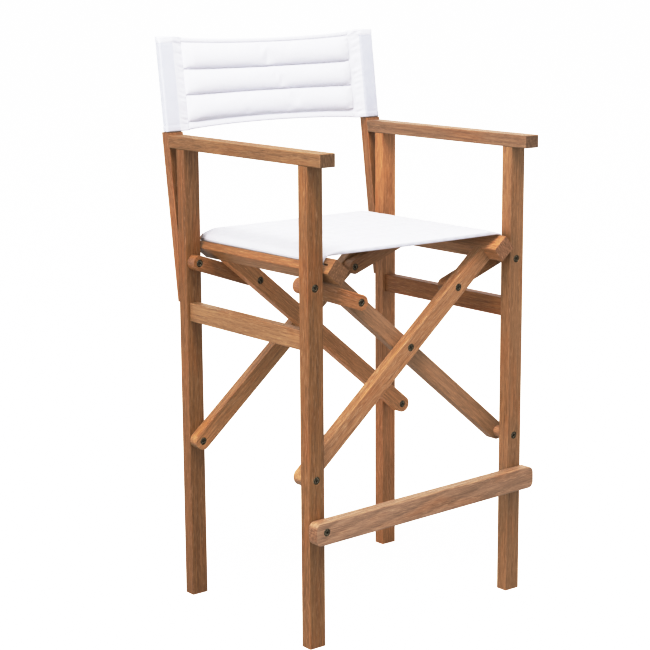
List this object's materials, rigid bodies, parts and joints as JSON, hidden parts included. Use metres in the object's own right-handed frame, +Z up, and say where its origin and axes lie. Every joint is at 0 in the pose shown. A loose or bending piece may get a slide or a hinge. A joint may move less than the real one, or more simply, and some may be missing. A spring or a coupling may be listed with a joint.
{
  "type": "folding chair",
  "caption": "Bar-height folding armchair with a crossed wooden frame, brace links, a swing-up footrest, and slings for the seat and the back.",
  "frame": {"origin": "middle of the whole chair's footprint box, on the floor", "axes": "+Z up, the sitter faces -Y, +X towards the sitter's left; the bars swing in planes square to Y"},
  "size_m": [0.5792, 0.538, 1.165],
  "materials": {
    "oiled_wood": "oiled hardwood, open grain",
    "spacer_wood": "pale turned wood",
    "dowel_wood": "plain beech",
    "dark_steel": "burnished dark bronze",
    "rod_plastic": "plain matt",
    "canvas": "white woven canvas"
  },
  "bodies": {
    "right_frame": {"right_front_leg": "oiled_wood", "right_rear_leg": "oiled_wood", "right_armrest": "oiled_wood", "right_stretcher": "oiled_wood", "right_back_post": "oiled_wood", "right_dowels": "dowel_wood", "right_post_screws": "dark_steel", "right_pivot_bolts": "dark_steel", "right_back_sleeve": "canvas", "footrest_bolt": "dark_steel", "back_panel": "canvas"},
    "left_frame": {"left_front_leg": "oiled_wood", "left_rear_leg": "oiled_wood", "left_armrest": "oiled_wood", "left_stretcher": "oiled_wood", "left_back_post": "oiled_wood", "left_dowels": "dowel_wood", "left_post_screws": "dark_steel", "left_pivot_bolts": "dark_steel", "left_back_sleeve": "canvas", "left_spacers": "spacer_wood", "footrest_peg": "dark_steel"},
    "scissor_a": {"bar_a_front": "oiled_wood", "bar_a_rear": "oiled_wood", "crossing_bolts": "dark_steel", "bar_a_brace_screw": "dark_steel", "left_seat_rail": "oiled_wood", "left_rail_dowels": "dowel_wood", "left_sling_rod": "rod_plastic", "seat_sling": "canvas"},
    "scissor_b": {"bar_b_front": "oiled_wood", "bar_b_rear": "oiled_wood", "bar_b_brace_screw": "dark_steel", "right_seat_rail": "oiled_wood", "right_rail_dowels": "dowel_wood", "right_sling_rod": "rod_plastic"},
    "right_front_brace": {"right_front_link": "oiled_wood", "right_front_link_screw": "dark_steel"},
    "right_rear_brace": {"right_rear_link": "oiled_wood"},
    "left_front_brace": {"left_front_link": "oiled_wood"},
    "left_rear_brace": {"left_rear_link": "oiled_wood", "left_rear_link_screw": "dark_steel"},
    "footrest_bar": {"footrest": "oiled_wood"}
  },
  "joints": [
    {"name": "fold", "type": "hinge", "parent": "right_frame", "child": "scissor_a", "pos_m": [-0.269, -0.01526, 0.338], "axis": [0, -1, 0], "range_deg": [0, 35], "deforming": ["seat_sling", "back_panel"]},
    {"name": "crossing", "type": "hinge", "parent": "scissor_a", "child": "scissor_b", "pos_m": [-0.006, -0.01526, 0.5579], "axis": [0, -1, 0], "range_deg": [-80.7, 0]},
    {"name": "left_frame_swing", "type": "hinge", "parent": "scissor_b", "child": "left_frame", "pos_m": [0.257, -0.01526, 0.338], "axis": [0, -1, 0], "range_deg": [0, 35.5]},
    {"name": "right_front_brace_swing", "type": "hinge", "parent": "right_frame", "child": "right_front_brace", "pos_m": [-0.269, -0.01526, 0.712], "axis": [0, -1, 0], "range_deg": [0, 78.31]},
    {"name": "right_rear_brace_swing", "type": "hinge", "parent": "right_frame", "child": "right_rear_brace", "pos_m": [-0.269, -0.01526, 0.712], "axis": [0, -1, 0], "range_deg": [0, 78.31]},
    {"name": "left_front_brace_swing", "type": "hinge", "parent": "left_frame", "child": "left_front_brace", "pos_m": [0.257, -0.01526, 0.712], "axis": [0, -1, 0], "range_deg": [-78.31, 0]},
    {"name": "left_rear_brace_swing", "type": "hinge", "parent": "left_frame", "child": "left_rear_brace", "pos_m": [0.257, -0.01526, 0.712], "axis": [0, -1, 0], "range_deg": [-78.31, 0]},
    {"name": "footrest_swing", "type": "hinge", "parent": "right_frame", "child": "footrest_bar", "pos_m": [-0.264, -0.01526, 0.24], "axis": [0, -1, 0], "range_deg": [0, 78]}
  ],
  "couplings": [
    {"joint": "crossing", "follows": "fold", "ratio": -2.2913},
    {"joint": "left_frame_swing", "follows": "fold", "ratio": 1},
    {"joint": "right_front_brace_swing", "follows": "fold", "ratio": 2.2231},
    {"joint": "right_rear_brace_swing", "follows": "fold", "ratio": 2.2231},
    {"joint": "left_front_brace_swing", "follows": "fold", "ratio": -2.2231},
    {"joint": "left_rear_brace_swing", "follows": "fold", "ratio": -2.2231}
  ]
}
